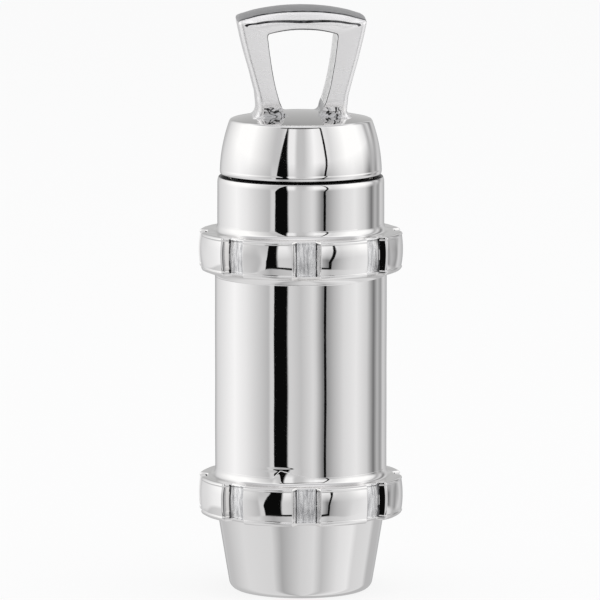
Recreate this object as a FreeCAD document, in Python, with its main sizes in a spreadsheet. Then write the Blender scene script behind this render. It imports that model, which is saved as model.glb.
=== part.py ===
import FreeCAD, Part
import math
import os

import Sketcher

# A screw-capped capsule pendant in sterling silver, styled as a cogged cylinder.
# Millimetres. +Z runs up the capsule's axis and the origin is the centre of the flat
# foot. The bail's window faces along Y, so -Y is the front.

DIMENSIONS = {
    # base cup: a cone with a rounded foot, hollow, with a spigot that enters the tube
    "base_flat_radius": 3.76,
    "base_round": 0.60,
    "base_side_foot": 0.50,
    "base_side_foot_radius": 4.354,
    "base_rim_radius": 5.06,
    "base_height": 4.70,
    "base_floor": 1.0,
    "base_bore_radius": 3.6,
    "spigot_height": 1.0,
    # body tube
    "tube_radius": 5.20,
    "tube_bore_radius": 4.50,
    # collars
    "collar_radius": 6.20,
    "collar_height": 2.35,
    "collar_top_round": 0.16,
    "collar_under_round": 0.34,
    "collar_heel": 0.30,
    "upper_collar_foot": 19.60,
    "notch_floor_radius": 5.70,
    "notch_floor_half_width": 0.66,
    "notch_mouth_half_width": 0.88,
    "notch_mouth_radius": 6.60,
    # neck
    "neck_radius": 5.05,
    "neck_top": 25.25,
    "neck_lip_round": 0.12,
    # screw thread between the bush in the neck and the plug under the cap
    "thread_pitch": 0.75,
    "bush_foot": 20.95,
    "bush_top": 24.70,
    "bush_bore_radius": 3.52,
    "groove_root_radius": 3.88,
    "groove_mouth_radius": 3.40,
    "groove_root_half_width": 0.075,
    "groove_mouth_half_width": 0.350,
    "groove_start": 20.20,
    "groove_rise": 5.25,
    "plug_tip": 21.50,
    "plug_tip_chamfer": 0.40,
    "plug_core_radius": 3.45,
    "tooth_crest_radius": 3.80,
    "tooth_root_radius": 3.38,
    "tooth_crest_half_width": 0.060,
    "tooth_root_half_width": 0.300,
    "tooth_start": 21.70,
    "tooth_rise": 2.35,
    # plug flange, which closes the cap from below
    "flange_radius": 4.30,
    "flange_thickness": 0.70,
    # seal ring on the plug, between the bush and the flange
    "seal_ring_radius": 3.86,
    "seal_cord_radius": 0.30,
    "seal_middle": 25.02,
    # cap shell
    "cap_foot": 25.35,
    "cap_foot_radius": 4.90,
    "cap_side_radius": 9.40,
    "cap_shoulder": 28.60,
    "cap_shoulder_radius": 4.33,
    "crown_edge": 28.76,
    "crown_edge_radius": 4.11,
    "crown_edge_round": 0.23,
    "crown_apex": 29.20,
    "cap_bore_top": 27.90,
    "cap_bore_top_radius": 3.75,
    # bail
    "bail_foot": 28.40,
    "bail_knee": 30.25,
    "bail_knee_half_width": 2.70,
    "bail_flare": 28.98,
    "bail_flare_half_width": 3.02,
    "bail_haunch": 34.00,
    "bail_haunch_half_width": 3.68,
    "bail_corner": 34.78,
    "bail_corner_half_width": 3.85,
    "bail_top": 35.62,
    "bail_depth": 4.40,
    "bail_edge": 0.30,
    "window_sill": 29.30,
    "window_sill_half_width": 0.90,
    "window_ankle": 30.10,
    "window_ankle_half_width": 1.42,
    "window_ankle_round": 0.95,
    "window_corner": 34.02,
    "window_corner_half_width": 2.10,
    "window_top": 34.25,
}

NOTCH_COUNT = 8
HORIZONTAL_AXIS = -1
VERTICAL_AXIS = -2
SAME_PLACE = 1e-6
CLEAR_OF_WINDOW = 0.3
LEAST_CUT_VOLUME = 0.1

document = FreeCAD.newDocument("capsule_pendant")


# ---------------------------------------------------------------- dimensions

def make_sheet():
    """The driving dimensions, one named cell each."""
    sheet = document.addObject("Spreadsheet::Sheet", "sizes")
    for row, (alias, value) in enumerate(DIMENSIONS.items(), start=1):
        cell = f"B{row}"
        sheet.set(f"A{row}", alias)
        sheet.set(cell, str(value))
        sheet.setAlias(cell, alias)
    document.recompute()


def number(size):
    """The value of a size such as "neck_top - neck_lip_round"."""
    total, sign = 0.0, 1.0
    for word in size.split():
        if word in "+-":
            sign = 1.0 if word == "+" else -1.0
        else:
            total += sign * DIMENSIONS[word]
            sign = 1.0
    return total


def formula(size):
    """The same size as an expression that reads the sheet."""
    words = size.split()
    return " ".join(word if word in "+-" else f"sizes.{word}" for word in words)


# ---------------------------------------------------------------- sketches

def new_body(label):
    body = document.addObject("PartDesign::Body", label)
    body.Label = label
    body.Placement = FreeCAD.Placement()
    return body


def origin_feature(body, role):
    """One of the body's own origin planes or axes, such as XZ_Plane or Z_Axis."""
    return next(part for part in body.Origin.OriginFeatures if part.Role == role)


def new_sketch(body, name, role):
    sketch = body.newObject("Sketcher::SketchObject", name)
    sketch.AttachmentSupport = [(origin_feature(body, role), "")]
    sketch.MapMode = "FlatFace"
    return sketch


def arc_between(start, end, radius, side):
    """An arc from start to end. side is 1 where its centre lies left of that line."""
    middle = (start + end) * 0.5
    along = end - start
    reach = math.sqrt(max(radius ** 2 - (along.Length / 2) ** 2, 0.0))
    across = FreeCAD.Vector(-along.y, along.x, 0).normalize()
    centre = middle + across * (reach * side)
    circle = Part.Circle(centre, FreeCAD.Vector(0, 0, 1), radius)
    first, last = (start, end) if side > 0 else (end, start)
    angles = [math.atan2(p.y - centre.y, p.x - centre.x) for p in (first, last)]
    return Part.ArcOfCircle(circle, *angles)


def dome_radius(start, end):
    """The radius of an arc through both points, one of them its apex on the axis."""
    rise = abs(end.y - start.y)
    reach = max(abs(start.x), abs(end.x))
    return (reach ** 2 + rise ** 2) / (2 * rise)


def draw(sketch, outline):
    """Draws a closed outline and ties each corner to the sheet.

    outline holds corners (across, up), and ("arc", radius, side) where the edge from
    the corner before it to the corner after it is an arc. An arc with an empty radius
    is centred on the axis.
    """
    corners = [step for step in outline if step[0] != "arc"]
    arcs = {}
    for step in outline:
        if step[0] == "arc":
            arcs[place] = step
        else:
            place = corners.index(step)
    points = [FreeCAD.Vector(number(x), number(y), 0) for x, y in corners]
    ends = []
    for place, start in enumerate(points):
        end = points[(place + 1) % len(points)]
        if place in arcs:
            _, radius, side = arcs[place]
            bend = number(radius) if radius else dome_radius(start, end)
            edge = sketch.addGeometry(arc_between(start, end, bend, side))
            ends.append((edge, 1, 2) if side > 0 else (edge, 2, 1))
            if radius:
                tie(sketch, Sketcher.Constraint("Radius", edge, bend), radius)
            else:
                centred = Sketcher.Constraint("PointOnObject", edge, 3, VERTICAL_AXIS)
                sketch.addConstraint(centred)
        else:
            edge = sketch.addGeometry(Part.LineSegment(start, end))
            ends.append((edge, 1, 2))
    for place, (edge, first, _) in enumerate(ends):
        before, _, last = ends[place - 1]
        sketch.addConstraint(Sketcher.Constraint("Coincident", before, last, edge, first))
        x, y = corners[place]
        for kind, axis, size in (
            ("DistanceX", VERTICAL_AXIS, x),
            ("DistanceY", HORIZONTAL_AXIS, y),
        ):
            if size:
                length = Sketcher.Constraint(kind, -1, 1, edge, first, number(size))
                tie(sketch, length, size)
            else:
                on_axis = Sketcher.Constraint("PointOnObject", edge, first, axis)
                sketch.addConstraint(on_axis)


def tie(sketch, constraint, size):
    index = sketch.addConstraint(constraint)
    sketch.setExpression(f"Constraints[{index}]", formula(size))


# ---------------------------------------------------------------- features

def revolve(body, name, outline, kind="PartDesign::Revolution"):
    """Turns an outline in the XZ plane about the capsule's axis."""
    sketch = new_sketch(body, f"{name}_profile", "XZ_Plane")
    draw(sketch, outline)
    turned = body.newObject(kind, name)
    turned.Profile = sketch
    turned.ReferenceAxis = (sketch, ["V_Axis"])
    turned.Angle = 360
    body.Tip = turned
    return turned


def wind(body, name, outline, rise, kind):
    """Winds a thread outline up a right-hand helix about the capsule's axis."""
    sketch = new_sketch(body, f"{name}_profile", "XZ_Plane")
    draw(sketch, outline)
    helix = body.newObject(kind, name)
    helix.Profile = sketch
    helix.ReferenceAxis = (sketch, ["V_Axis"])
    helix.Mode = "pitch-height-angle"
    helix.setExpression("Pitch", "sizes.thread_pitch")
    helix.setExpression("Height", f"sizes.{rise}")
    helix.LeftHanded = False
    body.Tip = helix
    return helix


def make_collar(label, foot, below, above):
    """A cogged collar: a ring that concave heels of solder blend into the tube.

    foot is the size that gives its lower face. below and above name the radii that the
    two heels blend into; a collar with no heel below sits flat on the cup's rim.
    """
    body = new_body(label)
    if below:
        outline = [
            (below, f"{foot} - collar_heel"),
            ("arc", "collar_heel", 1),
            (f"{below} + collar_heel", foot),
        ]
    else:
        outline = [("tube_radius", foot)]
    outline += [
        ("collar_radius - collar_under_round", foot),
        ("arc", "collar_under_round", 1),
        ("collar_radius", f"{foot} + collar_under_round"),
        ("collar_radius", f"{foot} + collar_height - collar_top_round"),
        ("arc", "collar_top_round", 1),
        ("collar_radius - collar_top_round", f"{foot} + collar_height"),
        (f"{above} + collar_heel", f"{foot} + collar_height"),
        ("arc", "collar_heel", 1),
        (above, f"{foot} + collar_height + collar_heel"),
    ]
    if above != "tube_radius":
        outline += [
            (above, f"{foot} + collar_height"),
            ("tube_radius", f"{foot} + collar_height"),
        ]
    ring = revolve(body, f"{label}_ring", outline)

    sketch = new_sketch(body, f"{label}_notch_outline", "XY_Plane")
    draw(sketch, [
        ("- notch_floor_half_width", "- notch_floor_radius"),
        ("- notch_mouth_half_width", "- notch_mouth_radius"),
        ("notch_mouth_half_width", "- notch_mouth_radius"),
        ("notch_floor_half_width", "- notch_floor_radius"),
    ])
    notch = body.newObject("PartDesign::Pocket", f"{label}_notch")
    notch.Profile = sketch
    notch.Type = "ThroughAll"
    notch.Reversed = True
    body.Tip = notch
    notches = body.newObject("PartDesign::PolarPattern", f"{label}_notches")
    notches.Originals = [notch]
    notches.Axis = (origin_feature(body, "Z_Axis"), [""])
    notches.Angle = 360
    notches.Occurrences = NOTCH_COUNT
    body.Tip = notches
    cuts.append((ring, notches))
    return body


def make_base_cup():
    body = new_body("base_cup")
    revolve(body, "cup", [
        ("", ""),
        ("base_flat_radius", ""),
        ("arc", "base_round", 1),
        ("base_side_foot_radius", "base_side_foot"),
        ("base_rim_radius", "base_height"),
        ("tube_bore_radius", "base_height"),
        ("tube_bore_radius", "base_height + spigot_height"),
        ("base_bore_radius", "base_height + spigot_height"),
        ("base_bore_radius", "base_floor"),
        ("", "base_floor"),
    ])
    return body


def make_body_tube():
    body = new_body("body_tube")
    top = "upper_collar_foot + collar_height"
    revolve(body, "tube", [
        ("tube_bore_radius", "base_height"),
        ("tube_radius", "base_height"),
        ("tube_radius", top),
        ("tube_bore_radius", top),
    ])
    return body


def make_neck_ring():
    body = new_body("neck_ring")
    revolve(body, "neck", [
        ("tube_bore_radius", "upper_collar_foot + collar_height"),
        ("neck_radius", "upper_collar_foot + collar_height"),
        ("neck_radius", "neck_top - neck_lip_round"),
        ("arc", "neck_lip_round", 1),
        ("neck_radius - neck_lip_round", "neck_top"),
        ("tube_bore_radius", "neck_top"),
    ])
    return body


def make_thread_bush():
    """The bush in the neck: its groove runs right through both of its ends."""
    body = new_body("thread_bush")
    blank = revolve(body, "bush_blank", [
        ("bush_bore_radius", "bush_foot"),
        ("tube_bore_radius", "bush_foot"),
        ("tube_bore_radius", "bush_top"),
        ("bush_bore_radius", "bush_top"),
    ])
    wind(body, "bush_groove", [
        ("groove_mouth_radius", "groove_start - groove_mouth_half_width"),
        ("groove_root_radius", "groove_start - groove_root_half_width"),
        ("groove_root_radius", "groove_start + groove_root_half_width"),
        ("groove_mouth_radius", "groove_start + groove_mouth_half_width"),
    ], "groove_rise", "PartDesign::SubtractiveHelix")
    cuts.append((blank, body.Tip))
    return body


def make_threaded_plug():
    """The plug: a flange, a plain shank for the seal ring and a threaded stem."""
    body = new_body("threaded_plug")
    revolve(body, "plug_blank", [
        ("", "plug_tip"),
        ("plug_core_radius - plug_tip_chamfer", "plug_tip"),
        ("plug_core_radius", "plug_tip + plug_tip_chamfer"),
        ("plug_core_radius", "cap_foot"),
        ("flange_radius", "cap_foot"),
        ("flange_radius", "cap_foot + flange_thickness"),
        ("", "cap_foot + flange_thickness"),
    ])
    wind(body, "plug_tooth", [
        ("tooth_root_radius", "tooth_start + tooth_root_half_width"),
        ("tooth_root_radius", "tooth_start - tooth_root_half_width"),
        ("tooth_crest_radius", "tooth_start - tooth_crest_half_width"),
        ("tooth_crest_radius", "tooth_start + tooth_crest_half_width"),
    ], "tooth_rise", "PartDesign::AdditiveHelix")
    return body


def make_seal_ring():
    ring = document.addObject("Part::Torus", "seal_ring")
    ring.Label = "seal_ring"
    ring.setExpression("Radius1", "sizes.seal_ring_radius")
    ring.setExpression("Radius2", "sizes.seal_cord_radius")
    ring.setExpression("Placement.Base.z", "sizes.seal_middle")
    return ring


def make_cap_shell():
    body = new_body("cap_shell")
    revolve(body, "shell", [
        ("flange_radius", "cap_foot"),
        ("cap_foot_radius", "cap_foot"),
        ("arc", "cap_side_radius", 1),
        ("cap_shoulder_radius", "cap_shoulder"),
        ("arc", "crown_edge_round", 1),
        ("crown_edge_radius", "crown_edge"),
        ("arc", "", 1),
        ("", "crown_apex"),
        ("", "cap_bore_top"),
        ("cap_bore_top_radius", "cap_bore_top"),
        ("flange_radius", "cap_foot + flange_thickness"),
    ])
    return body


def make_bail():
    """The bail: a bevelled frame with flared feet, trimmed to sit on the cap's crown."""
    body = new_body("bail_frame")
    sketch = new_sketch(body, "bail_outline", "XZ_Plane")
    draw(sketch, [
        ("", "bail_top"),
        ("", "window_top"),
        ("arc", "", -1),
        ("window_corner_half_width", "window_corner"),
        ("window_ankle_half_width", "window_ankle"),
        ("arc", "window_ankle_round", -1),
        ("window_sill_half_width", "window_sill"),
        ("window_sill_half_width", "bail_foot"),
        ("bail_flare_half_width", "bail_foot"),
        ("bail_flare_half_width", "bail_flare"),
        ("bail_knee_half_width", "bail_knee"),
        ("bail_haunch_half_width", "bail_haunch"),
        ("bail_corner_half_width", "bail_corner"),
        ("arc", "", 1),
    ])
    half = body.newObject("PartDesign::Pad", "bail_half")
    half.Profile = sketch
    half.setExpression("Length", "sizes.bail_depth")
    half.Midplane = True
    body.Tip = half
    whole = body.newObject("PartDesign::Mirrored", "bail_whole")
    whole.Originals = [half]
    whole.MirrorPlane = (origin_feature(body, "YZ_Plane"), [""])
    body.Tip = whole
    document.recompute()

    bevel = body.newObject("PartDesign::Chamfer", "bail_bevel")
    bevel.Base = (whole, outer_edges(whole.Shape))
    bevel.setExpression("Size", "sizes.bail_edge")
    body.Tip = bevel

    rise = "(sizes.crown_apex - sizes.crown_edge)"
    crown = document.addObject("Part::Sphere", "crown_ball")
    crown.setExpression("Radius", f"(sizes.crown_edge_radius ^ 2 + {rise} ^ 2) / (2 * {rise})")
    crown.setExpression("Placement.Base.z", "sizes.crown_apex * 1 mm - Radius")
    bail = document.addObject("Part::Cut", "bail")
    bail.Label = "bail"
    bail.Base = body
    bail.Tool = crown
    return bail


def outer_edges(shape):
    """The names of the edges round the bail's front and back faces, window left out."""
    face_distance = number("bail_depth") / 2
    names = []
    for place, edge in enumerate(shape.Edges, start=1):
        middle = edge.CenterOfMass
        from_face = abs(abs(middle.y) - face_distance)
        on_face = max(edge.BoundBox.YLength, from_face) < SAME_PLACE
        beside = abs(middle.x) > number("window_corner_half_width") + CLEAR_OF_WINDOW
        above = middle.z > number("window_top") + CLEAR_OF_WINDOW
        if on_face and (beside or above) and middle.z > number("bail_flare"):
            names.append(f"Edge{place}")
    return names


# ---------------------------------------------------------------- the pendant

def check(parts):
    """Stops on a failed feature, a bad shape or a cut that removed nothing."""
    for thing in document.Objects:
        if {"Invalid", "Error"} & set(thing.State):
            raise RuntimeError(f"{thing.Name} failed: {thing.State}")
    for part in parts:
        shape = part.Shape
        if shape.isNull() or not shape.isValid() or len(shape.Solids) != 1:
            raise RuntimeError(f"{part.Label} has a bad shape")
        print(f"{part.Label}: {shape.Volume:.2f} cubic mm")
    for before, after in cuts:
        if after.Shape.Volume > before.Shape.Volume - LEAST_CUT_VOLUME:
            raise RuntimeError(f"{after.Name} cut nothing")


cuts = []
make_sheet()
pieces = [
    make_base_cup(),
    make_body_tube(),
    make_collar("lower_collar", "base_height", "", "tube_radius"),
    make_collar("upper_collar", "upper_collar_foot", "tube_radius", "neck_radius"),
    make_neck_ring(),
    make_thread_bush(),
    make_threaded_plug(),
    make_seal_ring(),
    make_cap_shell(),
    make_bail(),
]
document.recompute()
check(pieces)
os.makedirs("parts", exist_ok=True)
for piece in pieces:
    piece.Shape.exportStep(f"parts/{piece.Label}.step")
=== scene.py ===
import math

import bmesh
import bpy
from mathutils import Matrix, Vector, noise


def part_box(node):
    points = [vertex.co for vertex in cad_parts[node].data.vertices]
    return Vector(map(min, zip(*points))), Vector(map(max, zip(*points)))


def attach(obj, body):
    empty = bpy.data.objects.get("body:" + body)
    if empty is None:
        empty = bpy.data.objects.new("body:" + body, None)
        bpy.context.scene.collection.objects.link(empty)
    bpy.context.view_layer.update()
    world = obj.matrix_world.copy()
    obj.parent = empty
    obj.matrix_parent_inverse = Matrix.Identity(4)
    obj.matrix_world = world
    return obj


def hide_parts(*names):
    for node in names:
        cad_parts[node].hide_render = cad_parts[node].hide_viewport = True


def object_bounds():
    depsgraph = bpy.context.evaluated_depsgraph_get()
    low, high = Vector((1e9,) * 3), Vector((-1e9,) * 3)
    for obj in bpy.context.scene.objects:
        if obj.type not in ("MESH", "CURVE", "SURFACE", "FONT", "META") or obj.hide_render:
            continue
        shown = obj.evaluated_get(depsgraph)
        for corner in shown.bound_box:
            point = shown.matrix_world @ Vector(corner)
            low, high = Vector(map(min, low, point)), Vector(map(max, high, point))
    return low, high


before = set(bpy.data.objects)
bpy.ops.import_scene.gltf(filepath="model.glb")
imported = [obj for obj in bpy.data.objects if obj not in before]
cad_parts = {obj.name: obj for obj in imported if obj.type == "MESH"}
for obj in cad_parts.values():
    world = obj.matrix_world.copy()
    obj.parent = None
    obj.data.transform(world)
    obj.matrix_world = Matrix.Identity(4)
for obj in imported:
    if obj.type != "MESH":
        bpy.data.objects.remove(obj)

# A screw-capped capsule pendant in sterling silver: a polished tube between two cogged
# collars, a tapered cup below, and a domed cap with an open bail above.
# Metres, +Z up the capsule's axis, -Y the front.

MM = 0.001
cad_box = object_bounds()


def reach(node):
    """The radius of a round node, and its lowest and highest points."""
    low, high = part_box(node)
    return (high[0] - low[0]) / 2, low[2], high[2]


TUBE_RADIUS, TUBE_FOOT, TUBE_TOP = reach("body_tube")
NECK_RADIUS, NECK_FOOT, NECK_TOP = reach("neck_ring")
CUP_RADIUS, _, CUP_TOP = reach("base_cup")
CAP_RADIUS, CAP_FOOT, CROWN_APEX = reach("cap_shell")
BAIL_LOW, BAIL_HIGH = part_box("bail")

# the solder's heels round the collars: how far they stand out, and how high
HEEL = 0.30 * MM
HEEL_HEIGHT = 0.50 * MM

LOWER_COLLAR_FOOT = reach("lower_collar")[1]
LOWER_COLLAR_TOP = reach("lower_collar")[2] - HEEL
UPPER_COLLAR_FOOT = reach("upper_collar")[1] + HEEL
UPPER_COLLAR_TOP = reach("upper_collar")[2] - HEEL
COLLAR_RADIUS = 6.20 * MM
NOTCH_FLOOR_RADIUS = 5.70 * MM
NOTCHES = 8

# half the width of a notch at its floor, and at the face of the cogs
FLOOR_EDGE = 0.60 * MM
COG_EDGE = 0.90 * MM

# how far each cog's face is out of square, as a slope, from the first cog right of the front
COG_TILTS = (0.0, 0.03, -0.04, 0.05, -0.03, 0.02, -0.04, 0.06)
BORE_RADIUS = 4.50 * MM

# how far the painted shade of the gap reaches, on the neck below it and on the cap above it
NECK_TARNISH = 0.025 * MM
CAP_TARNISH = 0.015 * MM

# points closer than this are one point
TOUCHING = 1e-7


# ---------------------------------------------------------------- outlines

def run(start, end, pieces=1):
    """Points along a straight stretch, close together at both ends.

    The near ones hold a mirror surface flat right up to the bend beside it.
    """
    start, end = Vector(start), Vector(end)
    near = min(0.02 * MM / max((end - start).length, 1e-9), 0.25)
    inner = [near + (1 - 2 * near) * place / pieces for place in range(pieces + 1)]
    return [tuple(start.lerp(end, place)) for place in (0.0, *inner, 1.0)]


def bend(centre, radius, begin, finish, pieces=8):
    """Points along an arc, with its angles in degrees from the first axis.

    radius is one number, or a pair for an ellipse: across and up.
    """
    across, up = radius if isinstance(radius, tuple) else (radius, radius)
    points = []
    for place in range(pieces + 1):
        angle = math.radians(begin + (finish - begin) * place / pieces)
        points.append((
            centre[0] + across * math.cos(angle),
            centre[1] + up * math.sin(angle),
        ))
    return points


def joined(*stretches):
    """One outline from several stretches, with doubled points left out."""
    outline = []
    for stretch in stretches:
        for point in stretch:
            if not outline or (Vector(point) - Vector(outline[-1])).length > TOUCHING:
                outline.append(point)
    if (Vector(outline[0]) - Vector(outline[-1])).length < TOUCHING:
        outline.pop()
    return outline


# ---------------------------------------------------------------- meshes

def hand_polish(point, depth, spacing):
    """How far hand polishing leaves a spot above or below the true surface."""
    return depth * noise.noise(point / spacing)


def finish_mesh(name, mesh, body, finishes, stands_for):
    """Makes the piece, gives it its finishes, and says what it rides on and replaces."""
    bmesh.ops.recalc_face_normals(mesh, faces=mesh.faces)
    data = bpy.data.meshes.new(name)
    mesh.to_mesh(data)
    mesh.free()
    data.shade_smooth()
    piece = bpy.data.objects.new(name, data)
    bpy.context.scene.collection.objects.link(piece)
    for finish in finishes:
        data.materials.append(finish)
    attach(piece, body)
    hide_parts(stands_for)


def skin(mesh, rings, closed):
    """Faces between rings of vertices; a ring of one vertex is a pole."""
    pairs = list(zip(rings, rings[1:]))
    if closed:
        pairs.append((rings[-1], rings[0]))
    for lower, upper in pairs:
        count = max(len(lower), len(upper))
        for place in range(count):
            after = (place + 1) % count
            corners = [lower[place % len(lower)], lower[after % len(lower)],
                       upper[after % len(upper)], upper[place % len(upper)]]
            distinct = list(dict.fromkeys(corners))
            if len(distinct) > 2:
                mesh.faces.new(distinct)


def dent_depth(spot, dents):
    """How far shallow dents, each (azimuth, height, length, width, depth), push a spot in."""
    total = 0.0
    for azimuth, height, length, width, depth in dents:
        centre = math.radians(azimuth)
        sideways = (spot.y * math.cos(centre) - spot.x * math.sin(centre)) / length
        upwards = (spot.z - height) / width
        facing = spot.x * math.cos(centre) + spot.y * math.sin(centre) > 0
        if facing:
            total += depth * math.exp(-sideways ** 2 - upwards ** 2)
    return total


def turn(outline, steps, depth, spacing, dents=()):
    """A mesh turned about the axis from an outline of (radius, height) points."""
    mesh = bmesh.new()
    rings = []
    for radius, height in outline:
        if radius < TOUCHING:
            rings.append([mesh.verts.new((0, 0, height))])
            continue
        ring = []
        for step in range(steps):
            angle = math.tau * step / steps
            spot = Vector((radius * math.cos(angle), radius * math.sin(angle), height))
            wide = 1 + (hand_polish(spot, depth, spacing) - dent_depth(spot, dents)) / radius
            ring.append(mesh.verts.new((spot.x * wide, spot.y * wide, height)))
        rings.append(ring)
    skin(mesh, rings, closed=outline[0][0] > TOUCHING)
    return mesh


# ---------------------------------------------------------------- materials

def linear(code):
    """A colour from its sRGB hex code, with alpha 1."""
    parts = [int(code[place:place + 2], 16) / 255 for place in (0, 2, 4)]
    return (*[c / 12.92 if c <= 0.04045 else ((c + 0.055) / 1.055) ** 2.4 for c in parts], 1)


def add_node(tree, kind, inputs=None, **settings):
    """Adds a node, sets it, and fills or links its inputs."""
    node = tree.nodes.new(kind)
    for key, value in settings.items():
        setattr(node, key, value)
    for key, value in (inputs or {}).items():
        if isinstance(value, bpy.types.NodeSocket):
            tree.links.new(value, node.inputs[key])
        else:
            node.inputs[key].default_value = value
    return node


def scaled(tree, value, start, end, low=0.0, high=1.0):
    """The value mapped from start..end to low..high, and held at both ends."""
    return add_node(tree, "ShaderNodeMapRange", {
        "Value": value, "From Min": start, "From Max": end,
        "To Min": low, "To Max": high}).outputs["Result"]


def worked(tree, operation, *values):
    """One step of arithmetic on values or sockets."""
    return add_node(tree, "ShaderNodeMath", dict(enumerate(values)),
                    operation=operation).outputs[0]


def blended(tree, share, below, above):
    """A colour between two others, by a share from 0 to 1."""
    return add_node(tree, "ShaderNodeMix", {
        "Factor": share, "A": below, "B": above}, data_type="RGBA").outputs["Result"]


def new_material(name):
    material = bpy.data.materials.new(name)
    material.use_nodes = True
    material.node_tree.nodes.clear()
    return material, material.node_tree


def close_material(tree, shader):
    add_node(tree, "ShaderNodeOutputMaterial", {"Surface": shader.outputs[0]})


def polished_sterling():
    """Sterling silver, buffed on a wheel: a mirror with a faint haze of polishing marks."""
    material, tree = new_material("polished_sterling_silver")
    place = add_node(tree, "ShaderNodeTexCoord").outputs["Object"]
    haze = add_node(tree, "ShaderNodeTexNoise", {
        "Vector": place, "Scale": 1 / (1.2 * MM), "Detail": 4.0, "Roughness": 0.6})
    rough = add_node(tree, "ShaderNodeMapRange", {
        "Value": haze.outputs["Fac"], "From Min": 0.35, "From Max": 0.75,
        "To Min": 0.020, "To Max": 0.060})
    marks = add_node(tree, "ShaderNodeTexNoise", {
        "Vector": place, "Scale": 1 / (0.25 * MM), "Detail": 3.0})
    relief = add_node(tree, "ShaderNodeBump", {
        "Strength": 0.04, "Distance": 0.01 * MM, "Height": marks.outputs["Fac"]})
    close_material(tree, add_node(tree, "ShaderNodeBsdfPrincipled", {
        "Base Color": linear("F4F3F2"), "Metallic": 1.0,
        "Roughness": rough.outputs["Result"], "Normal": relief.outputs["Normal"]}))
    return material


def satin_sterling():
    """Sterling silver rubbed along with a fine abrasive: soft, with fine streaks."""
    material, tree = new_material("satin_sterling_silver")
    place = add_node(tree, "ShaderNodeTexCoord").outputs["Object"]
    stretch = add_node(tree, "ShaderNodeMapping", {
        "Vector": place, "Scale": (0.12, 1.0, 1.0)})
    streaks = add_node(tree, "ShaderNodeTexNoise", {
        "Vector": stretch.outputs["Vector"], "Scale": 1 / (0.22 * MM), "Detail": 3.0,
        "Roughness": 0.6})
    rough = add_node(tree, "ShaderNodeMapRange", {
        "Value": streaks.outputs["Fac"], "From Min": 0.3, "From Max": 0.7,
        "To Min": 0.25, "To Max": 0.33})
    relief = add_node(tree, "ShaderNodeBump", {
        "Strength": 0.008, "Distance": 0.01 * MM, "Height": streaks.outputs["Fac"]})
    close_material(tree, add_node(tree, "ShaderNodeBsdfPrincipled", {
        "Base Color": linear("FBFAFA"), "Metallic": 0.74,
        "Roughness": rough.outputs["Result"], "Normal": relief.outputs["Normal"]}))
    return material


def brushed_sterling():
    """Sterling silver drawn over emery paper, with scratches along it, and a darker face whose
    tone is painted shade for the grey wall that the bail's top face reflects.
    """
    material, tree = new_material("brushed_and_painted_shade_silver")
    place = add_node(tree, "ShaderNodeTexCoord").outputs["Object"]
    stretch = add_node(tree, "ShaderNodeMapping", {
        "Vector": place, "Scale": (0.04, 1.0, 1.0)})
    scratches = add_node(tree, "ShaderNodeTexNoise", {
        "Vector": stretch.outputs["Vector"], "Scale": 1 / (0.07 * MM), "Detail": 5.0,
        "Roughness": 0.7})
    tone = add_node(tree, "ShaderNodeMix", {
        "Factor": scaled(tree, scratches.outputs["Fac"], 0.40, 0.60),
        "A": linear("A4A4A6"), "B": linear("C2C2C4")}, data_type="RGBA")
    relief = add_node(tree, "ShaderNodeBump", {
        "Strength": 0.10, "Distance": 0.01 * MM, "Height": scratches.outputs["Fac"]})
    close_material(tree, add_node(tree, "ShaderNodeBsdfPrincipled", {
        "Base Color": tone.outputs["Result"], "Metallic": 0.9,
        "Roughness": 0.28, "Normal": relief.outputs["Normal"]}))
    return material


def soldered_sterling():
    """Silver solder run into a joint: bright and lumpy, with thin black squiggles through it.
    """
    material, tree = new_material("soldered_sterling_silver")
    place = add_node(tree, "ShaderNodeTexCoord").outputs["Object"]
    lumps = add_node(tree, "ShaderNodeTexNoise", {
        "Vector": place, "Scale": 1 / (0.80 * MM), "Detail": 2.0, "Distortion": 0.8})
    ridge = worked(tree, "ABSOLUTE", worked(tree, "SUBTRACT", lumps.outputs["Fac"], 0.47))
    tone = add_node(tree, "ShaderNodeMix", {
        "Factor": scaled(tree, ridge, 0.012, 0.036),
        "A": linear("343435"), "B": linear("D6D6D7")}, data_type="RGBA")
    relief = add_node(tree, "ShaderNodeBump", {
        "Strength": 0.8, "Distance": 0.06 * MM, "Height": lumps.outputs["Fac"]})
    close_material(tree, add_node(tree, "ShaderNodeBsdfPrincipled", {
        "Base Color": tone.outputs["Result"], "Metallic": 1.0,
        "Roughness": 0.10, "Normal": relief.outputs["Normal"]}))
    return material


def pickled_sterling():
    """Sterling silver white and matt from the acid bath, where no wheel can reach."""
    material, tree = new_material("pickled_sterling_silver")
    place = add_node(tree, "ShaderNodeTexCoord").outputs["Object"]
    cloud = add_node(tree, "ShaderNodeTexNoise", {
        "Vector": place, "Scale": 1 / (0.6 * MM), "Detail": 4.0})
    tone = add_node(tree, "ShaderNodeMix", {
        "Factor": cloud.outputs["Fac"], "A": linear("FBFBFA"), "B": linear("FFFFFF")},
        data_type="RGBA")
    close_material(tree, add_node(tree, "ShaderNodeBsdfPrincipled", {
        "Base Color": tone.outputs["Result"], "Metallic": 0.12, "Roughness": 0.5}))
    return material


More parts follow.
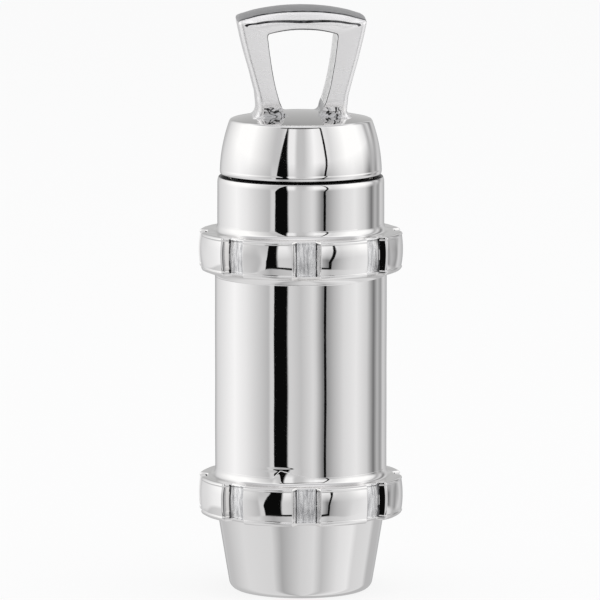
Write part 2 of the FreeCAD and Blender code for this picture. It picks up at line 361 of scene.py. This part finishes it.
def filed_sterling():
    """Sterling silver left from the file: grey notch floors with upright scores."""
    material, tree = new_material("filed_sterling_silver")
    place = add_node(tree, "ShaderNodeTexCoord").outputs["Object"]
    stretch = add_node(tree, "ShaderNodeMapping", {
        "Vector": place, "Scale": (1.0, 1.0, 0.10)})
    scores = add_node(tree, "ShaderNodeTexNoise", {
        "Vector": stretch.outputs["Vector"], "Scale": 1 / (0.16 * MM), "Detail": 6.0,
        "Roughness": 0.75})
    tone = add_node(tree, "ShaderNodeMix", {
        "Factor": scaled(tree, scores.outputs["Fac"], 0.36, 0.56),
        "A": linear("B8B8BA"), "B": linear("FFFFFF")}, data_type="RGBA")
    relief = add_node(tree, "ShaderNodeBump", {
        "Strength": 0.7, "Distance": 0.03 * MM, "Height": scores.outputs["Fac"]})
    close_material(tree, add_node(tree, "ShaderNodeBsdfPrincipled", {
        "Base Color": tone.outputs["Result"], "Metallic": 1.0,
        "Roughness": 0.26, "Normal": relief.outputs["Normal"]}))
    return material


def oxidised_sterling():
    """Dark sterling silver for fine corners: tarnish where a buffing wheel cannot reach, in
    the corners of the notch floors, and painted shade in the gap between the cap and the neck
    and along the bail's creases and window edges.
    """
    material, tree = new_material("painted_shade_and_tarnish_silver")
    place = add_node(tree, "ShaderNodeTexCoord").outputs["Object"]
    patches = add_node(tree, "ShaderNodeTexNoise", {
        "Vector": place, "Scale": 1 / (0.5 * MM), "Detail": 3.0})
    tone = add_node(tree, "ShaderNodeMix", {
        "Factor": scaled(tree, patches.outputs["Fac"], 0.35, 0.65),
        "A": linear("2C2C2D"), "B": linear("7C7C7E")}, data_type="RGBA")
    close_material(tree, add_node(tree, "ShaderNodeBsdfPrincipled", {
        "Base Color": tone.outputs["Result"], "Metallic": 1.0, "Roughness": 0.34}))
    return material


def turned_sterling():
    """Sterling silver straight from the lathe and the die: fine rings round the axis."""
    material, tree = new_material("turned_sterling_silver")
    place = add_node(tree, "ShaderNodeTexCoord").outputs["Object"]
    stretch = add_node(tree, "ShaderNodeMapping", {
        "Vector": place, "Scale": (0.06, 0.06, 1.0)})
    rings = add_node(tree, "ShaderNodeTexNoise", {
        "Vector": stretch.outputs["Vector"], "Scale": 1 / (0.05 * MM), "Detail": 3.0})
    relief = add_node(tree, "ShaderNodeBump", {
        "Strength": 0.25, "Distance": 0.01 * MM, "Height": rings.outputs["Fac"]})
    close_material(tree, add_node(tree, "ShaderNodeBsdfPrincipled", {
        "Base Color": linear("E9E8E6"), "Metallic": 1.0,
        "Roughness": 0.20, "Normal": relief.outputs["Normal"]}))
    return material


def nitrile_rubber():
    """Moulded black nitrile rubber: matt, with a dusty bloom."""
    material, tree = new_material("moulded_nitrile_rubber")
    place = add_node(tree, "ShaderNodeTexCoord").outputs["Object"]
    bloom = add_node(tree, "ShaderNodeTexNoise", {
        "Vector": place, "Scale": 1 / (0.4 * MM), "Detail": 4.0})
    tone = add_node(tree, "ShaderNodeMix", {
        "Factor": bloom.outputs["Fac"], "A": linear("161616"), "B": linear("2A2A2A")},
        data_type="RGBA")
    close_material(tree, add_node(tree, "ShaderNodeBsdfPrincipled", {
        "Base Color": tone.outputs["Result"], "Roughness": 0.55, "IOR": 1.52}))
    return material


polished = polished_sterling()
satin = satin_sterling()
brushed = brushed_sterling()
soldered = soldered_sterling()
pickled = pickled_sterling()
filed = filed_sterling()
oxidised = oxidised_sterling()
turned = turned_sterling()
rubber = nitrile_rubber()


# ---------------------------------------------------------------- the vessel

def make_tube():
    """The tube, with two shallow dents that the buffing wheel left by its foot."""
    wall = joined(
        run((BORE_RADIUS, TUBE_FOOT), (TUBE_RADIUS, TUBE_FOOT)),
        run((TUBE_RADIUS, TUBE_FOOT), (TUBE_RADIUS, TUBE_FOOT + 4.6 * MM), pieces=92),
        run((TUBE_RADIUS, TUBE_FOOT + 4.6 * MM), (TUBE_RADIUS, TUBE_TOP), pieces=60),
        run((TUBE_RADIUS, TUBE_TOP), (BORE_RADIUS, TUBE_TOP)),
        run((BORE_RADIUS, TUBE_TOP), (BORE_RADIUS, TUBE_FOOT), pieces=4),
    )
    buffing_dents = [
        (-108.5, 8.02 * MM, 1.00 * MM, 0.12 * MM, 0.030 * MM),
        (-102.0, 7.84 * MM, 0.55 * MM, 0.08 * MM, 0.010 * MM),
    ]
    mesh = turn(wall, 400, 0.013 * MM, 4.2 * MM, buffing_dents)
    finish_mesh("polished_tube", mesh, "vessel", [polished], "body_tube")


def make_neck():
    """The neck, with a soft outer lip and a top face painted dark as the shade of the gap
    under the cap that sits on it.
    """
    lip, lip_height = 0.11 * MM, 0.42 * MM
    wall = joined(
        run((BORE_RADIUS, NECK_FOOT), (NECK_RADIUS, NECK_FOOT)),
        run((NECK_RADIUS, NECK_FOOT), (NECK_RADIUS, NECK_TOP - lip_height), pieces=20),
        bend((NECK_RADIUS - lip, NECK_TOP - lip_height), (lip, lip_height), 0, 90, 28),
        run((NECK_RADIUS - lip, NECK_TOP), (BORE_RADIUS, NECK_TOP), pieces=2),
        run((BORE_RADIUS, NECK_TOP), (BORE_RADIUS, NECK_FOOT), pieces=2),
    )
    mesh = turn(wall, 360, 0.009 * MM, 2.4 * MM)
    # the neck's top face takes the dark finish: painted shade of the gap under the cap
    for face in mesh.faces:
        if face.calc_center_median().z > NECK_TOP - NECK_TARNISH:
            face.material_index = 1
    finish_mesh("neck", mesh, "vessel", [polished, oxidised], "neck_ring")


def make_cup():
    """The tapered cup, hollow as cast, with its rounded foot and its spigot."""
    foot_radius = 4.27 * MM
    rim = LOWER_COLLAR_FOOT
    lean = math.degrees(math.atan2(CUP_RADIUS - foot_radius, rim))
    rounding = 0.60 * MM
    flat = foot_radius - rounding * (1 - math.sin(math.radians(lean))) / math.cos(
        math.radians(lean))
    arc = bend((flat, rounding), rounding, -90, -lean, 14)
    bore, floor = 3.60 * MM, 1.0 * MM
    wall = joined(
        [(0, 0)],
        run((0.001 * MM, 0), (flat, 0), pieces=6),
        arc,
        run(arc[-1], (CUP_RADIUS, rim), pieces=28),
        run((CUP_RADIUS, rim), (BORE_RADIUS, rim)),
        run((BORE_RADIUS, rim), (BORE_RADIUS, CUP_TOP)),
        run((BORE_RADIUS, CUP_TOP), (bore, CUP_TOP)),
        run((bore, CUP_TOP), (bore, floor), pieces=4),
        run((bore, floor), (0.001 * MM, floor), pieces=4),
        [(0, floor)],
    )
    mesh = turn(wall, 360, 0.012 * MM, 2.6 * MM)
    finish_mesh("tapered_cup", mesh, "vessel", [polished], "base_cup")


def across_notch(angle):
    """The angle from the middle of the nearest notch."""
    pitch = math.tau / NOTCHES
    return abs((angle + math.pi / 2 + pitch / 2) % pitch - pitch / 2)


def notch_depth(angle):
    """How far a collar's rim is cut back at an angle, from 0 on a cog to 1 in a notch."""
    across = across_notch(angle) * COLLAR_RADIUS
    share = min(max((COG_EDGE - across) / (COG_EDGE - FLOOR_EDGE), 0.0), 1.0)
    return share * share * (3 - 2 * share)


def notch_angles():
    """Angles round a collar, close together at the notch walls."""
    pitch = math.tau / NOTCHES
    half = [0.9 * place for place in range(7)]
    half += [5.5 + 0.18 * place for place in range(1, 20)]
    half += [9.0 + 0.75 * place for place in range(1, 18)]
    half = [math.radians(angle) for angle in half if angle < 22.4]
    sector = [-angle for angle in reversed(half[1:])] + half + [pitch / 2]
    return [-math.pi / 2 + pitch * notch + angle
            for notch in range(NOTCHES) for angle in sector]


def barrel(start, end, swell, pieces):
    """An upright stretch that hand filing has left slightly convex."""
    (radius, low), (_, high) = start, end
    points = []
    for place in range(pieces + 1):
        share = place / pieces
        points.append((radius - swell * (2 * share - 1) ** 2 + swell * 0.5,
                       low + (high - low) * share))
    return points


def collar_outline(foot, top, below, above, rim):
    """A collar's outer outline, up from its lower heel to its upper one."""
    under_round, top_round = 0.26 * MM, 0.17 * MM
    stretches = []
    if below:
        tall = 0.42 * MM
        stretches.append(bend((below + HEEL, foot - tall), (HEEL, tall), 180, 90, 12))
        under = below + HEEL
    else:
        under = CUP_RADIUS - 0.02 * MM
        stretches.append([(under, foot + 0.05 * MM), (under, foot)])
    stretches += [
        run((under, foot), (rim - under_round, foot), pieces=3),
        bend((rim - under_round, foot + under_round), under_round, -90, 0, 12),
        barrel((rim, foot + under_round), (rim, top - top_round), 0.085 * MM, 22),
        bend((rim - top_round, top - top_round), top_round, 0, 90, 8),
        run((rim - top_round, top), (above + HEEL, top), pieces=4),
        bend((above + HEEL, top + HEEL_HEIGHT), (HEEL, HEEL_HEIGHT), -90, -180, 26),
    ]
    return joined(*stretches)


def cog_tilt(angle):
    """How far the file has left a cog's face out of square, from end to end."""
    pitch = math.tau / NOTCHES
    place = (angle + math.pi / 2) / pitch
    from_middle = place - math.floor(place) - 0.5
    square = 1 - abs(2 * from_middle) ** 6
    return -COG_TILTS[math.floor(place) % NOTCHES] * from_middle * pitch * square


def polish_share(radius, height, foot, below, above):
    """From 0 where a heel runs out on the wall, so that no step shows there, to 1."""
    if height <= foot and not below:
        return 1.0
    wall = below if height < foot else above
    return min(max((radius - wall) / HEEL, 0.0), 1.0)


def pooled(angle):
    """How much taller the heel stands where the solder has pooled, left of the front."""
    peak, to_the_right, to_the_left, rise = -107.0, 21.0, 5.0, 0.9
    along = math.degrees(angle) - peak
    share = 1 - along / to_the_right if along > 0 else 1 + along / to_the_left
    return 1 + rise * max(0.0, share)


def make_collar(name, node, foot, top, below, above):
    """A cogged collar between two heels; below and above are the walls they run out on."""
    seed = Vector((foot, 0.3, 0.1))
    out_of_square = 1.0 if below else 0.6
    inner = min(above, TUBE_RADIUS) - 0.08 * MM
    mesh = bmesh.new()
    columns = []
    for angle in notch_angles():
        cut = notch_depth(angle)
        rim = COLLAR_RADIUS * (1 + cog_tilt(angle) * out_of_square)
        rim -= cut * (rim - NOTCH_FLOOR_RADIUS)
        column = []
        for radius, height in collar_outline(foot, top, below, above, rim):
            spot = Vector((radius * math.cos(angle), radius * math.sin(angle), height))
            share = polish_share(radius, height, foot, below, above)
            wide = 1 + share * hand_polish(spot + seed, 0.024 * MM, 1.25 * MM) / radius
            lift = share * hand_polish(spot - seed, 0.024 * MM, 1.1 * MM)
            if height > top and not below:
                height = top + (height - top) * pooled(angle)
            column.append(mesh.verts.new((spot.x * wide, spot.y * wide, height + lift)))
        for end in (column[-1], column[0]):
            column.append(mesh.verts.new((
                inner * math.cos(angle), inner * math.sin(angle), end.co.z)))
        columns.append(column)
    for column, after in zip(columns, columns[1:] + columns[:1]):
        for place in range(len(column)):
            follow = (place + 1) % len(column)
            mesh.faces.new((column[place], after[place], after[follow], column[follow]))
    file_marks, wall_corner = 0.10 * MM, 0.03 * MM
    for face in mesh.faces:
        middle = face.calc_center_median()
        wide = math.hypot(middle.x, middle.y)
        upright = foot + 0.2 * MM < middle.z < top - 0.1 * MM
        if upright and abs(wide - NOTCH_FLOOR_RADIUS) < file_marks:
            across = across_notch(math.atan2(middle.y, middle.x)) * wide
            face.material_index = 2 if across > FLOOR_EDGE - wall_corner else 1
    finish_mesh(name, mesh, "vessel", [polished, filed, oxidised], node)


# ---------------------------------------------------------------- the cap

CROWN_EDGE_RADIUS = 4.11 * MM
CROWN_EDGE = CROWN_APEX - 0.44 * MM
CROWN_BALL = (CROWN_EDGE_RADIUS ** 2 + (CROWN_APEX - CROWN_EDGE) ** 2) / (
    2 * (CROWN_APEX - CROWN_EDGE))


def crown_height(radius):
    """The height of the cap's domed crown at a distance from the axis."""
    return CROWN_APEX - CROWN_BALL + math.sqrt(CROWN_BALL ** 2 - radius ** 2)


def make_cap():
    """The cap: a convex side on a small lip, a soft shoulder and a shallow domed crown."""
    cap_edge = CAP_FOOT + 0.07 * MM
    shoulder, shoulder_radius = CROWN_EDGE - 0.16 * MM, 4.33 * MM
    lip, lip_height = 0.06 * MM, 0.26 * MM
    drop = CAP_RADIUS - shoulder_radius
    rise = shoulder - CAP_FOOT
    side = (drop ** 2 + rise ** 2) / (2 * drop)
    lean = math.degrees(math.asin(rise / side))
    slope = math.degrees(math.asin(CROWN_EDGE_RADIUS / CROWN_BALL))
    flange = 4.30 * MM
    side_end = bend((CAP_RADIUS - side, CAP_FOOT), side, 0, lean, 40)
    wall = joined(
        run((flange, cap_edge), (CAP_RADIUS - lip, cap_edge)),
        bend((CAP_RADIUS - lip, cap_edge + lip_height), (lip, lip_height), -90, -2, 24),
        [point for point in side_end
         if cap_edge + lip_height < point[1] < shoulder - 0.02 * MM],
        corner_between(side_end[-1], lean, (CROWN_EDGE_RADIUS, CROWN_EDGE), 90 - slope),
        bend((0, CROWN_APEX - CROWN_BALL), CROWN_BALL, 90 - slope, 90, 30)[:-1],
        [(0, CROWN_APEX)],
        [(0, CROWN_APEX - 1.3 * MM)],
        run((0.001 * MM, CROWN_APEX - 1.3 * MM), (3.75 * MM, CROWN_APEX - 1.3 * MM)),
        run((3.75 * MM, CROWN_APEX - 1.3 * MM), (flange, cap_edge + 0.7 * MM)),
        run((flange, cap_edge + 0.7 * MM), (flange, cap_edge)),
    )
    mesh = turn(wall, 360, 0.009 * MM, 2.4 * MM)
    # the cap's lowest rim takes the dark finish: painted shade of the gap above the neck
    for face in mesh.faces:
        if face.calc_center_median().z < cap_edge + CAP_TARNISH:
            face.material_index = 1
    finish_mesh("domed_cap", mesh, "cap", [polished, oxidised],
                "cap_shell")


def corner_between(start, start_lean, end, end_lean, pieces=10):
    """A smooth corner from one slope to another, as a Bezier curve with both tangents."""
    start, end = Vector(start), Vector(end)
    first = Vector((-math.sin(math.radians(start_lean)), math.cos(math.radians(start_lean))))
    last = Vector((math.sin(math.radians(end_lean)), -math.cos(math.radians(end_lean))))
    pull = (end - start).length * 0.42
    a, b = start + first * pull, end + last * pull
    points = []
    for place in range(pieces + 1):
        t = place / pieces
        u = 1 - t
        points.append(tuple(
            start * u ** 3 + a * 3 * u * u * t + b * 3 * u * t * t + end * t ** 3))
    return points


# ---------------------------------------------------------------- the bail

BAIL_HALF_DEPTH = (BAIL_HIGH[1] - BAIL_LOW[1]) / 2

# how many pieces the bail's outlines have along the foot, the leg, the corner and the top
FOOT_PIECES, LEG_PIECES, CORNER_PIECES, TOP_PIECES = 22, 44, 14, 40

BAIL_FINISHES = [satin, oxidised, brushed, soldered, pickled]
LEG_FINISHES = {
    # the edges round the window take the dark finish: a painted dark line along them
    "edge": BAIL_FINISHES.index(oxidised),
    "inside": BAIL_FINISHES.index(pickled),
}
TOP_FINISHES = LEG_FINISHES | {
    # the creases along the top take the dark finish: painted shade in them
    "crease": BAIL_FINISHES.index(oxidised),
    # the top face: brushed, with a darker tone that is painted shade
    "top": BAIL_FINISHES.index(brushed),
}


def smooth_curve(knots, pieces):
    """Evenly stepped points along a smooth line through a few given knots."""
    knots = [Vector(knot) * MM for knot in knots]
    padded = [2 * knots[0] - knots[1], *knots, 2 * knots[-1] - knots[-2]]
    dense = []
    for place in range(1, len(padded) - 2):
        a, b, c, d = padded[place - 1:place + 3]
        for step in range(24):
            t = step / 24
            dense.append(0.5 * (2 * b + (c - a) * t + (2 * a - 5 * b + 4 * c - d) * t * t
                                + (3 * b - a - 3 * c + d) * t ** 3))
    dense.append(knots[-1])
    lengths = [0.0]
    for before, after in zip(dense, dense[1:]):
        lengths.append(lengths[-1] + (after - before).length)
    points = []
    place = 0
    for step in range(pieces + 1):
        wanted = lengths[-1] * step / pieces
        while place < len(lengths) - 2 and lengths[place + 1] < wanted:
            place += 1
        span = max(lengths[place + 1] - lengths[place], 1e-12)
        points.append(dense[place].lerp(dense[place + 1], (wanted - lengths[place]) / span))
    return points


def bail_lines():
    """The right half of the bail's outer and inner outlines, from foot to middle."""
    outer = [
        smooth_curve([(2.70, 0.0), (2.69, 0.7), (2.76, 1.5)], FOOT_PIECES),
        smooth_curve([(2.76, 1.5), (3.03, 2.55), (3.38, 3.80), (3.66, 4.95), (3.80, 5.62)],
                     LEG_PIECES),
        smooth_curve([(3.80, 5.62), (3.86, 5.94), (3.84, 6.10), (3.66, 6.24)],
                     CORNER_PIECES),
        smooth_curve([(3.66, 6.24), (2.80, 6.50), (1.80, 6.69), (0.90, 6.79), (0.0, 6.82)],
                     TOP_PIECES),
    ]
    inner = [
        smooth_curve([(1.15, 0.0), (1.20, 0.55), (1.42, 1.25)], FOOT_PIECES),
        smooth_curve([(1.42, 1.25), (1.62, 2.00), (1.80, 2.90), (1.96, 3.90), (2.06, 4.80)],
                     LEG_PIECES),
        smooth_curve([(2.06, 4.80), (2.09, 5.06), (2.02, 5.22), (1.84, 5.28)],
                     CORNER_PIECES),
        smooth_curve([(1.84, 5.28), (1.40, 5.37), (0.90, 5.44), (0.45, 5.475), (0.0, 5.485)],
                     TOP_PIECES),
    ]
    return [side[0] + [point for part in side[1:] for point in part[1:]]
            for side in (outer, inner)]


def bail_section(width, top_share):
    """The bar's section as (place, sharp, finish of the face that follows).

    A place is the distance in from the outer face, and the depth. top_share runs from 0
    on a leg, whose edges are rolled over softly, to 1 along the top, where the bar is
    crowned and bevelled and the file has left two fine creases.
    """
    depth = BAIL_HALF_DEPTH
    bevel_in = (0.36 + 0.21 * top_share) * MM
    bevel_back = 0.34 * MM
    crown = 0.17 * MM * top_share
    inner_edge = (0.035 + 0.030 * top_share) * MM
    groove = 0.05 * MM * top_share
    lip = 0.085 * MM * top_share
    side = depth - bevel_back
    outer_face = []
    for place in range(13):
        across = -side + 2 * side * place / 12
        outer_face.append(((crown * (across / side) ** 2, across), False, "top"))
    front = [((crown + 0.01 * MM, side + 0.02 * MM), False, "crease"),
             ((crown + lip + 0.02 * MM, side + 0.03 * MM), False, "face")]
    for place in range(1, 9):
        share = place / 8
        straight = Vector((crown + lip + (bevel_in - lip) * share,
                           side + bevel_back * share ** 0.80))
        angle = math.pi / 2 * share
        rolled = Vector((crown + bevel_in * (1 - math.cos(angle)),
                         side + bevel_back * math.sin(angle)))
        front.append((tuple(rolled.lerp(straight, top_share)), False,
                      "crease" if place == 8 else "face"))
    front += [
        ((crown + bevel_in + 0.03 * MM, depth - groove), False, "crease"),
        ((crown + bevel_in + 0.14 * MM, depth - groove), False, "crease"),
        ((crown + bevel_in + 0.18 * MM, depth), False, "face"),
        ((width - inner_edge, depth), True, "edge"),
        ((width, depth - inner_edge), True, "inside"),
    ]
    finishes = ["top"] + [finish for _, _, finish in front[:-1]]
    back = [((inwards, -away), sharp, finish)
            for ((inwards, away), sharp, _), finish in zip(front, finishes)]
    return outer_face + front + back[::-1]


def round_corners(points, radius):
    """A closed outline with its sharp corners rounded, as (place, finish) pairs."""
    rounded = []
    count = len(points)
    for place, (spot, sharp, finish) in enumerate(points):
        here = Vector(spot)
        if not sharp:
            rounded.append((here, finish))
            continue
        before = Vector(points[place - 1][0])
        after = Vector(points[(place + 1) % count][0])
        back, forth = (before - here), (after - here)
        cut = min(radius, back.length * 0.4, forth.length * 0.4)
        start = here + back.normalized() * cut
        end = here + forth.normalized() * cut
        for step in range(6):
            t = step / 5
            rounded.append((start * (1 - t) ** 2 + here * 2 * t * (1 - t) + end * t * t,
                            finish))
    return rounded


def make_bail():
    """The bail: one bar bent round the window, its feet drawn in and flared on the crown."""
    bite, flare_height, flare_out = 0.40 * MM, 0.42 * MM, 0.34 * MM
    foot_height, foot_taper, foot_flare = 1.3 * MM, 0.16, 0.35
    solder_width, solder_height = 2.35 * MM, 0.62 * MM
    outer, inner = bail_lines()
    base = CROWN_APEX - bite
    # the section turns from a leg's to the top's over the outer part of the corner
    turn_start, turn_length = FOOT_PIECES + LEG_PIECES + 4, 12
    rows = []
    for place, (out, into) in enumerate(zip(outer, inner)):
        top_share = min(max((place - turn_start) / turn_length, 0.0), 1.0)
        top_share = top_share * top_share * (3 - 2 * top_share)
        rows.append((out, into, top_share))
    rows += [(Vector((-out.x, out.y)), Vector((-into.x, into.y)), top_share)
             for out, into, top_share in rows[-2::-1]]
    mesh = bmesh.new()
    rings = []
    for out, into, top_share in rows:
        width = (into - out).length
        inward = (into - out) / width
        height_above = min(out.y, into.y)
        section = round_corners(bail_section(width, top_share), 0.03 * MM)
        ring = []
        low = max(0.0, 1 - height_above / flare_height)
        flare = flare_out * (1 - math.sqrt(max(0.0, 1 - low * low)))
        for spot, _ in section:
            share = spot.x / width
            flat = out + inward * spot.x
            x = flat.x
            x += math.copysign(flare, x) * (1 - 2 * share)
            near = max(0.0, 1 - flat.y / foot_height)
            near = near * near * (3 - 2 * near)
            y = spot.y * (1 - foot_taper * near)
            y += math.copysign(foot_flare * flare, y) * min(1.0, abs(y) / (1.2 * MM))
            ground = crown_height(min(math.hypot(x, y), CROWN_EDGE_RADIUS)) - 0.02 * MM
            z = base + flat.y + near * (ground - base)
            corner = Vector((x, -y, z))
            rough = 0.012 * MM + 0.016 * MM * near
            nudge = hand_polish(corner, rough, 1.1 * MM)
            ring.append(mesh.verts.new(corner + Vector((nudge, -nudge, nudge * 0.5))))
        rings.append(ring)
    skin(mesh, rings, closed=False)
    mesh.verts.index_update()
    mesh.faces.ensure_lookup_table()
    for row in range(len(rings) - 1):
        on_top = min(rows[row][2], rows[row + 1][2]) > 0.06
        for place, (_, finish) in enumerate(section):
            face = mesh.faces[row * len(section) + place]
            face.material_index = (TOP_FINISHES if on_top else LEG_FINISHES).get(finish, 0)
            middle = face.calc_center_median()
            ground = crown_height(min(math.hypot(middle.x, middle.y), CROWN_EDGE_RADIUS))
            if abs(middle.x) < solder_width and middle.z - ground < solder_height:
                face.material_index = BAIL_FINISHES.index(soldered)
    for end in (rings[0], rings[-1]):
        mesh.faces.new(end)
    finish_mesh("bail_loop", mesh, "cap", BAIL_FINISHES, "bail")


# ---------------------------------------------------------------- the studio

CAMERA_TURN = -3.3
CAMERA_RISE = 7.5
CAMERA_DISTANCE = 430 * MM
FRAME_HEIGHT = 36.36 * MM
FRAME_MIDDLE = 17.67 * MM


def make_camera():
    data = bpy.data.cameras.new("camera")
    data.sensor_width = 36.0
    data.lens = data.sensor_width * CAMERA_DISTANCE / FRAME_HEIGHT
    data.clip_start = 1 * MM
    camera = bpy.data.objects.new("camera", data)
    bpy.context.scene.collection.objects.link(camera)
    turn_angle, rise = math.radians(CAMERA_TURN), math.radians(CAMERA_RISE)
    back = Vector((math.sin(turn_angle) * math.cos(rise),
                   -math.cos(turn_angle) * math.cos(rise), math.sin(rise)))
    aim = Vector((-0.05 * MM, 0, FRAME_MIDDLE))
    camera.location = aim + back * CAMERA_DISTANCE
    camera.rotation_euler = (-back).to_track_quat("-Z", "Y").to_euler()
    bpy.context.scene.camera = camera


def make_floor():
    mesh = bmesh.new()
    bmesh.ops.create_circle(mesh, cap_ends=True, segments=96, radius=1.6)
    data = bpy.data.meshes.new("floor")
    mesh.to_mesh(data)
    mesh.free()
    floor = bpy.data.objects.new("floor", data)
    floor.location.z = cad_box[0][2] - 0.02 * MM
    bpy.context.scene.collection.objects.link(floor)
    material, tree = new_material("backlit_white_acrylic")
    white = add_node(tree, "ShaderNodeBsdfDiffuse", {"Color": linear("F6F6F6")})
    lit = add_node(tree, "ShaderNodeEmission", {"Color": linear("FFFFFF"), "Strength": 0.98})
    close_material(tree, add_node(tree, "ShaderNodeMixShader", {
        "Fac": 0.86, 1: white.outputs[0], 2: lit.outputs[0]}))
    data.materials.append(material)
    floor.visible_glossy = False


def grey(level):
    """The hex code of a nearly neutral grey, a little cool."""
    return f"{level:02X}{level:02X}{min(level + 1, 255):02X}"


def colour_steps(tree, place, steps):
    """A colour ramp over azimuths: pairs of degrees and a grey level from 0 to 255."""
    ramp = add_node(tree, "ShaderNodeValToRGB", {"Fac": place})
    elements = ramp.color_ramp.elements
    while len(elements) > 1:
        elements.remove(elements[-1])
    elements[0].position = 0.0
    elements[0].color = linear(grey(steps[0][1]))
    for degrees, level in steps[1:]:
        elements.new((degrees + 180) / 360).color = linear(grey(level))
    return ramp.outputs["Color"]


def make_studio():
    """White diffusers round the object, with a framed grey panel in front.

    Azimuth runs from -180 to 180 degrees, 0 at the camera and positive to its right.
    """
    world = bpy.data.worlds.new("studio")
    bpy.context.scene.world = world
    world.use_nodes = True
    tree = world.node_tree
    tree.nodes.clear()
    way = add_node(tree, "ShaderNodeSeparateXYZ", {
        0: add_node(tree, "ShaderNodeTexCoord").outputs["Generated"]})
    toward = worked(tree, "MULTIPLY", way.outputs["Y"], -1.0)
    bearing = worked(tree, "ARCTAN2", way.outputs["X"], toward)
    offset = worked(tree, "MULTIPLY_ADD", bearing, math.degrees(1), -CAMERA_TURN)
    azimuth = worked(tree, "WRAP", offset, -180.0, 180.0)
    place = scaled(tree, azimuth, -180.0, 180.0)
    sideways = worked(tree, "ABSOLUTE", azimuth)
    elevation = worked(tree, "MULTIPLY", worked(tree, "ARCSINE", way.outputs["Z"]),
                       math.degrees(1))

    # a diffuser each side, the panel between them, and two stands behind the right one
    level_view = colour_steps(tree, place, [
        (-180, 130), (-150, 210), (-100, 245), (-80, 230), (-44, 180), (-41, 205),
        (-12, 205), (0, 190), (16, 215), (20, 205), (30, 120), (45, 180), (60, 215),
        (80, 230), (100, 205), (115, 110), (125, 180), (135, 145), (145, 205), (180, 150)])
    high_view = colour_steps(tree, place, [
        (-180, 130), (-150, 210), (-110, 255), (-80, 255), (-40, 190), (-32, 190),
        (-18, 235), (-10, 235), (-5, 190), (5, 190), (20, 245), (45, 215), (70, 255),
        (100, 255), (115, 230), (123, 170), (133, 210), (143, 120), (155, 210), (180, 150)])
    low_view = colour_steps(tree, place, [
        (-180, 180), (-135, 190), (-95, 215), (-45, 210), (-30, 165), (0, 205), (20, 215),
        (33, 185), (60, 220), (80, 230), (90, 210), (120, 215), (130, 180), (180, 180)])
    shade = blended(tree, scaled(tree, elevation, -4.0, 8.0), level_view, high_view)

    # the black gap left of the panel narrows upwards, and a black post closes its right
    dark_lines = (
        (scaled(tree, elevation, -7.5, 34.0, -26.8, -22.0),
         scaled(tree, elevation, -7.5, 34.0, 9.5, 1.0), 1.3),
        (worked(tree, "ADD", scaled(tree, elevation, -7.5, 5.0, 32.8, 37.4),
                scaled(tree, elevation, 9.0, 34.0, 0.0, -3.4)),
         scaled(tree, elevation, -7.5, 5.0, 1.7, 1.5), 0.3))
    for middle, half_width, softness in dark_lines:
        along = worked(tree, "SUBTRACT", azimuth, middle)
        from_left = scaled(tree, worked(tree, "ADD", along, half_width), -0.3, 0.3)
        from_right = scaled(tree, worked(tree, "SUBTRACT", half_width, along),
                            -softness, softness)
        shade = blended(tree, worked(tree, "MULTIPLY", from_left, from_right), shade,
                        linear("0A0A0A"))

    # the frame closes the panel above and below
    over_panel = worked(tree, "MULTIPLY", scaled(tree, azimuth, -36.2, -35.8),
                        scaled(tree, azimuth, 34.3, 34.7, 1.0, 0.0))
    for low, high in ((-20.5, -17.5), (33.5, 38.5)):
        between = worked(tree, "MULTIPLY", scaled(tree, elevation, low - 0.4, low + 0.4),
                         scaled(tree, elevation, high - 0.4, high + 0.4, 1.0, 0.0))
        shade = blended(tree, worked(tree, "MULTIPLY", between, over_panel), shade,
                        linear("101010"))

    # a grey wall far behind, the ceiling diffuser, and the floor's own glow
    wall = add_node(tree, "ShaderNodeCombineColor")
    wall_level = scaled(tree, elevation, -6.0, 32.0, 0.56, 0.33)
    for channel in ("Red", "Green", "Blue"):
        tree.links.new(wall_level, wall.inputs[channel])
    wall_edge = scaled(tree, elevation, 10.0, 28.0, 148.0, 164.0)
    wall_share = worked(tree, "MULTIPLY",
                        scaled(tree, worked(tree, "SUBTRACT", sideways, wall_edge), 0.0, 17.0),
                        scaled(tree, elevation, -5.0, 1.0))
    shade = blended(tree, wall_share, shade, wall.outputs["Color"])
    shade = blended(tree, scaled(tree, elevation, 38.5, 44.0), shade, linear("FCFCFD"))
    shade = blended(tree, scaled(tree, elevation, 43.5, 51.0), shade, linear("BEBEC0"))
    shade = blended(tree, scaled(tree, elevation, 62.0, 80.0), shade, linear("F0F0F2"))
    floor_edge = scaled(tree, sideways, 50.0, 100.0, -20.5, -13.5)
    floor_share = scaled(tree, worked(tree, "SUBTRACT", elevation, floor_edge),
                         0.8, -0.8)
    shade = blended(tree, floor_share, shade, low_view)

    seen = add_node(tree, "ShaderNodeLightPath").outputs["Is Camera Ray"]
    glow = add_node(tree, "ShaderNodeBackground", {
        "Color": blended(tree, seen, shade, linear("FFFFFF")), "Strength": 1.11})
    add_node(tree, "ShaderNodeOutputWorld", {"Surface": glow.outputs[0]})


def make_lights():
    """A wide soft overhead light, which the floor mostly sees."""
    data = bpy.data.lights.new("overhead_softbox", "AREA")
    data.shape = "DISK"
    data.size = 0.5
    data.energy = 1.1
    softbox = bpy.data.objects.new("overhead_softbox", data)
    softbox.location = (0.05, -0.05, 0.55)
    softbox.visible_glossy = False
    bpy.context.scene.collection.objects.link(softbox)


make_camera()
make_floor()
make_studio()
make_lights()
make_tube()
make_neck()
make_cup()
make_collar("cogged_collar_upper", "upper_collar", UPPER_COLLAR_FOOT, UPPER_COLLAR_TOP,
            TUBE_RADIUS, NECK_RADIUS)
make_collar("cogged_collar_lower", "lower_collar", LOWER_COLLAR_FOOT, LOWER_COLLAR_TOP,
            None, TUBE_RADIUS)
make_cap()
make_bail()
for node, finish in (("thread_bush", turned), ("threaded_plug", turned),
                     ("seal_ring", rubber)):
    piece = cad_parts[node]
    piece.data.materials.clear()
    piece.data.materials.append(finish)
bpy.context.scene.view_settings.view_transform = "Standard"
